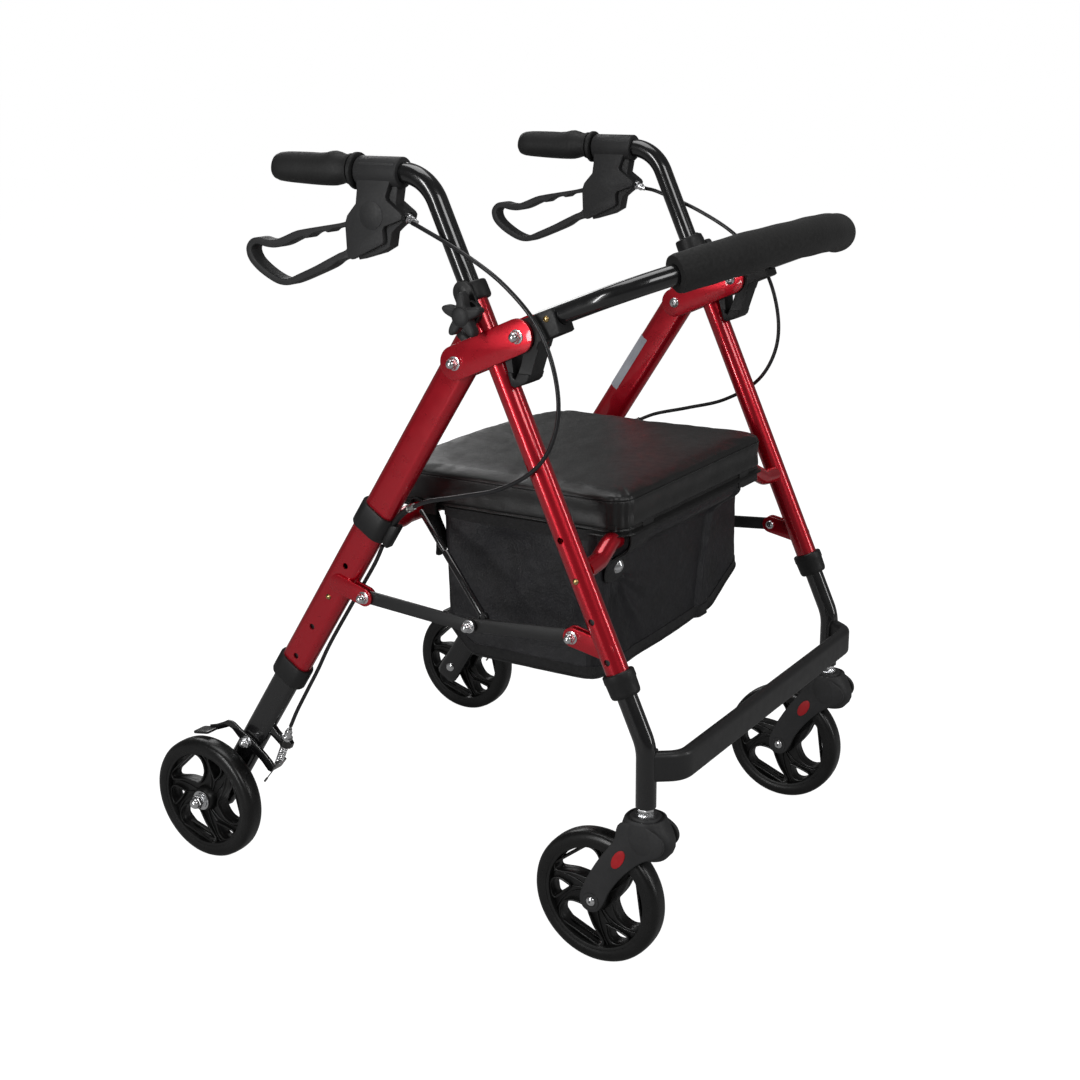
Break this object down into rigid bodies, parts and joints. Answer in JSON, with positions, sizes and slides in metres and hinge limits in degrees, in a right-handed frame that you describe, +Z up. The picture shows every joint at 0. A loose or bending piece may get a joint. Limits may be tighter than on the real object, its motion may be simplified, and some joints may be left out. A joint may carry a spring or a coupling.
{
  "type": "rollator walker",
  "caption": "Folding four-wheeled walking frame with padded seat, under-seat basket, curved backrest, loop brakes and swivelling front casters.",
  "frame": {"origin": "middle of the object's box on the floor", "axes": "+Z up, the front of the walker faces -Y, +X is the user's left"},
  "size_m": [0.5984, 0.7353, 0.852],
  "materials": {
    "red_paint": "metallic candy gloss",
    "black_paint": "satin gloss",
    "plastic": "fine moulded texture",
    "grip_rubber": "soft moulded",
    "wheel_plastic": "semi-gloss",
    "steel": "zinc and chrome plated",
    "brass": "polished",
    "vinyl": "grained upholstery vinyl",
    "nylon": "coated woven nylon",
    "foam": "closed-cell foam sleeve",
    "board": "dark backing board",
    "cable": "smooth cable housing"
  },
  "bodies": {
    "frame": {"left_front_leg": "red_paint", "right_front_leg": "red_paint", "front_seat_bar": "red_paint", "left_upper_collar": "plastic", "right_upper_collar": "plastic", "left_lower_collar": "plastic", "right_lower_collar": "plastic", "basket": "nylon", "left_brake_cable": "cable", "right_brake_cable": "cable"},
    "rear_frame": {"left_rear_leg": "red_paint", "right_rear_leg": "red_paint", "rear_seat_bar": "red_paint", "left_rear_collar": "plastic", "right_rear_collar": "plastic"},
    "base": {"front_base": "black_paint"},
    "seat": {"seat_pad": "vinyl", "seat_board": "board"},
    "backrest_hinge": {"left_backrest_bracket": "plastic", "right_backrest_bracket": "plastic"},
    "backrest": {"backrest_tube": "black_paint", "backrest_foam": "foam"},
    "left_handle": {"left_handle_tube": "black_paint", "left_grip": "grip_rubber", "left_brake_housing": "plastic"},
    "left_knob": {"left_star_knob": "plastic"},
    "left_lever": {"left_brake_lever": "plastic"},
    "left_caster": {"left_caster_fork": "plastic", "left_front_axle": "steel"},
    "left_front_roller": {"left_front_wheel": "wheel_plastic"},
    "left_front_latch": {"left_front_button": "brass"},
    "left_extension": {"left_rear_extension": "black_paint", "left_rear_axle": "steel"},
    "left_rear_roller": {"left_rear_wheel": "wheel_plastic"},
    "left_brake": {"left_brake_arm": "black_paint"},
    "left_rear_latch": {"left_rear_button": "brass"},
    "left_bracket_latch": {"left_bracket_button": "brass"},
    "left_front_strut": {"left_front_link": "black_paint"},
    "left_rear_strut": {"left_rear_link": "black_paint"},
    "left_rod_sleeve": {"left_lift_rod_lower": "black_paint"},
    "left_rod": {"left_lift_rod_upper": "steel"},
    "right_handle": {"right_handle_tube": "black_paint", "right_grip": "grip_rubber", "right_brake_housing": "plastic"},
    "right_knob": {"right_star_knob": "plastic"},
    "right_lever": {"right_brake_lever": "plastic"},
    "right_caster": {"right_caster_fork": "plastic", "right_front_axle": "steel"},
    "right_front_roller": {"right_front_wheel": "wheel_plastic"},
    "right_front_latch": {"right_front_button": "brass"},
    "right_extension": {"right_rear_extension": "black_paint", "right_rear_axle": "steel"},
    "right_rear_roller": {"right_rear_wheel": "wheel_plastic"},
    "right_brake": {"right_brake_arm": "black_paint"},
    "right_rear_latch": {"right_rear_button": "brass"},
    "right_bracket_latch": {"right_bracket_button": "brass"},
    "right_front_strut": {"right_front_link": "black_paint"},
    "right_rear_strut": {"right_rear_link": "black_paint"},
    "right_rod_sleeve": {"right_lift_rod_lower": "black_paint"},
    "right_rod": {"right_lift_rod_upper": "steel"}
  },
  "joints": [
    {"name": "fold", "type": "hinge", "parent": "frame", "child": "rear_frame", "pos_m": [0, -0.07638, 0.6441], "axis": [-1, 0, 0], "range_deg": [0, 35], "deforming": ["basket", "left_brake_cable", "right_brake_cable"]},
    {"name": "seat_hinge", "type": "hinge", "parent": "frame", "child": "seat", "pos_m": [0, -0.21458, 0.452], "axis": [1, 0, 0], "range_deg": [0, 60]},
    {"name": "front_height", "type": "slide", "parent": "frame", "child": "base", "axis": [0, -0.4131, -0.9107], "range_m": [-0.0448, 0.0896]},
    {"name": "backrest_flip", "type": "hinge", "parent": "frame", "child": "backrest_hinge", "pos_m": [0, -0.15338, 0.6781], "axis": [-1, 0, 0], "range_deg": [0, 60]},
    {"name": "backrest_pull", "type": "slide", "parent": "backrest_hinge", "child": "backrest", "axis": [0, -0.9304, 0.3665], "range_m": [0, 0.045]},
    {"name": "left_handle_height", "type": "slide", "parent": "frame", "child": "left_handle", "axis": [0, 0.4131, 0.9107], "range_m": [-0.05, 0.09], "deforming": ["left_brake_cable"]},
    {"name": "left_knob_turn", "type": "hinge", "parent": "frame", "child": "left_knob", "pos_m": [0.244, -0.09865, 0.6967], "axis": [1, 0, 0], "range_deg": [-360, 0]},
    {"name": "left_lever_squeeze", "type": "hinge", "parent": "left_handle", "child": "left_lever", "pos_m": [0.244, 0.02842, 0.79], "axis": [1, 0, 0], "range_deg": [-12, 14], "stiffness_Nm_per_rad": 4},
    {"name": "left_caster_swivel", "type": "hinge", "parent": "base", "child": "left_caster", "pos_m": [0.244, -0.29688, 0.19], "axis": [0, 0, 1], "continuous": true},
    {"name": "left_front_roll", "type": "hinge", "parent": "left_caster", "child": "left_front_roller", "pos_m": [0.244, -0.24158, 0.0762], "axis": [1, 0, 0], "continuous": true},
    {"name": "left_front_latch_press", "type": "slide", "parent": "frame", "child": "left_front_latch", "axis": [-1, 0, 0], "range_m": [0, 0.003], "stiffness_N_per_m": 300},
    {"name": "left_rear_height", "type": "slide", "parent": "rear_frame", "child": "left_extension", "axis": [0, 0.5454, -0.8382], "range_m": [-0.04868, 0.09735], "deforming": ["left_brake_cable"]},
    {"name": "left_rear_roll", "type": "hinge", "parent": "left_extension", "child": "left_rear_roller", "pos_m": [0.2792, 0.29182, 0.0762], "axis": [1, 0, 0], "continuous": true},
    {"name": "left_brake_pivot", "type": "hinge", "parent": "left_extension", "child": "left_brake", "pos_m": [0.254, 0.24642, 0.15], "axis": [1, 0, 0], "range_deg": [-2, 2]},
    {"name": "left_rear_latch_press", "type": "slide", "parent": "rear_frame", "child": "left_rear_latch", "axis": [-1, 0, 0], "range_m": [0, 0.003], "stiffness_N_per_m": 300},
    {"name": "left_bracket_latch_press", "type": "slide", "parent": "backrest_hinge", "child": "left_bracket_latch", "axis": [-1, 0, 0], "range_m": [0, 0.002], "stiffness_N_per_m": 300},
    {"name": "left_front_link_pivot", "type": "hinge", "parent": "frame", "child": "left_front_strut", "pos_m": [0.247, -0.21168, 0.3675], "axis": [1, 0, 0], "range_deg": [0, 64.6]},
    {"name": "left_rear_link_pivot", "type": "hinge", "parent": "rear_frame", "child": "left_rear_strut", "pos_m": [0.2515, 0.05712, 0.3664], "axis": [-1, 0, 0], "range_deg": [0, 50.6]},
    {"name": "left_rod_pivot", "type": "hinge", "parent": "left_front_strut", "child": "left_rod_sleeve", "pos_m": [0.2423, -0.09558, 0.366], "axis": [-1, 0, 0], "range_deg": [0, 31.9]},
    {"name": "left_rod_extend", "type": "slide", "parent": "left_rod_sleeve", "child": "left_rod", "axis": [-0.2623, 0.7275, 0.634], "range_m": [0, 0.046]},
    {"name": "right_handle_height", "type": "slide", "parent": "frame", "child": "right_handle", "axis": [0, 0.4131, 0.9107], "range_m": [-0.05, 0.09], "deforming": ["right_brake_cable"]},
    {"name": "right_knob_turn", "type": "hinge", "parent": "frame", "child": "right_knob", "pos_m": [-0.244, -0.09865, 0.6967], "axis": [-1, 0, 0], "range_deg": [-360, 0]},
    {"name": "right_lever_squeeze", "type": "hinge", "parent": "right_handle", "child": "right_lever", "pos_m": [-0.244, 0.02842, 0.79], "axis": [1, 0, 0], "range_deg": [-12, 14], "stiffness_Nm_per_rad": 4},
    {"name": "right_caster_swivel", "type": "hinge", "parent": "base", "child": "right_caster", "pos_m": [-0.244, -0.29688, 0.19], "axis": [0, 0, 1], "continuous": true},
    {"name": "right_front_roll", "type": "hinge", "parent": "right_caster", "child": "right_front_roller", "pos_m": [-0.244, -0.24158, 0.0762], "axis": [1, 0, 0], "continuous": true},
    {"name": "right_front_latch_press", "type": "slide", "parent": "frame", "child": "right_front_latch", "axis": [1, 0, 0], "range_m": [0, 0.003], "stiffness_N_per_m": 300},
    {"name": "right_rear_height", "type": "slide", "parent": "rear_frame", "child": "right_extension", "axis": [0, 0.5454, -0.8382], "range_m": [-0.04868, 0.09735], "deforming": ["right_brake_cable"]},
    {"name": "right_rear_roll", "type": "hinge", "parent": "right_extension", "child": "right_rear_roller", "pos_m": [-0.2792, 0.29182, 0.0762], "axis": [1, 0, 0], "continuous": true},
    {"name": "right_brake_pivot", "type": "hinge", "parent": "right_extension", "child": "right_brake", "pos_m": [-0.254, 0.24642, 0.15], "axis": [1, 0, 0], "range_deg": [-2, 2]},
    {"name": "right_rear_latch_press", "type": "slide", "parent": "rear_frame", "child": "right_rear_latch", "axis": [1, 0, 0], "range_m": [0, 0.003], "stiffness_N_per_m": 300},
    {"name": "right_bracket_latch_press", "type": "slide", "parent": "backrest_hinge", "child": "right_bracket_latch", "axis": [1, 0, 0], "range_m": [0, 0.002], "stiffness_N_per_m": 300},
    {"name": "right_front_link_pivot", "type": "hinge", "parent": "frame", "child": "right_front_strut", "pos_m": [-0.247, -0.21168, 0.3675], "axis": [1, 0, 0], "range_deg": [0, 64.6]},
    {"name": "right_rear_link_pivot", "type": "hinge", "parent": "rear_frame", "child": "right_rear_strut", "pos_m": [-0.2515, 0.05712, 0.3664], "axis": [-1, 0, 0], "range_deg": [0, 50.6]},
    {"name": "right_rod_pivot", "type": "hinge", "parent": "right_front_strut", "child": "right_rod_sleeve", "pos_m": [-0.2423, -0.09558, 0.366], "axis": [-1, 0, 0], "range_deg": [0, 31.9]},
    {"name": "right_rod_extend", "type": "slide", "parent": "right_rod_sleeve", "child": "right_rod", "axis": [0.2623, 0.7275, 0.634], "range_m": [0, 0.046]}
  ],
  "couplings": [
    {"joint": "seat_hinge", "follows": "fold", "ratio": 1.7143},
    {"joint": "left_brake_pivot", "follows": "left_lever_squeeze", "ratio": -0.14},
    {"joint": "left_front_link_pivot", "follows": "fold", "ratio": 1.8446},
    {"joint": "left_rear_link_pivot", "follows": "fold", "ratio": 1.4429},
    {"joint": "left_rod_pivot", "follows": "fold", "ratio": 0.91029},
    {"joint": "left_rod_extend", "follows": "fold", "m_per_rad": 0.075139},
    {"joint": "right_brake_pivot", "follows": "right_lever_squeeze", "ratio": -0.14},
    {"joint": "right_front_link_pivot", "follows": "fold", "ratio": 1.8446},
    {"joint": "right_rear_link_pivot", "follows": "fold", "ratio": 1.4429},
    {"joint": "right_rod_pivot", "follows": "fold", "ratio": 0.91029},
    {"joint": "right_rod_extend", "follows": "fold", "m_per_rad": 0.075139}
  ]
}
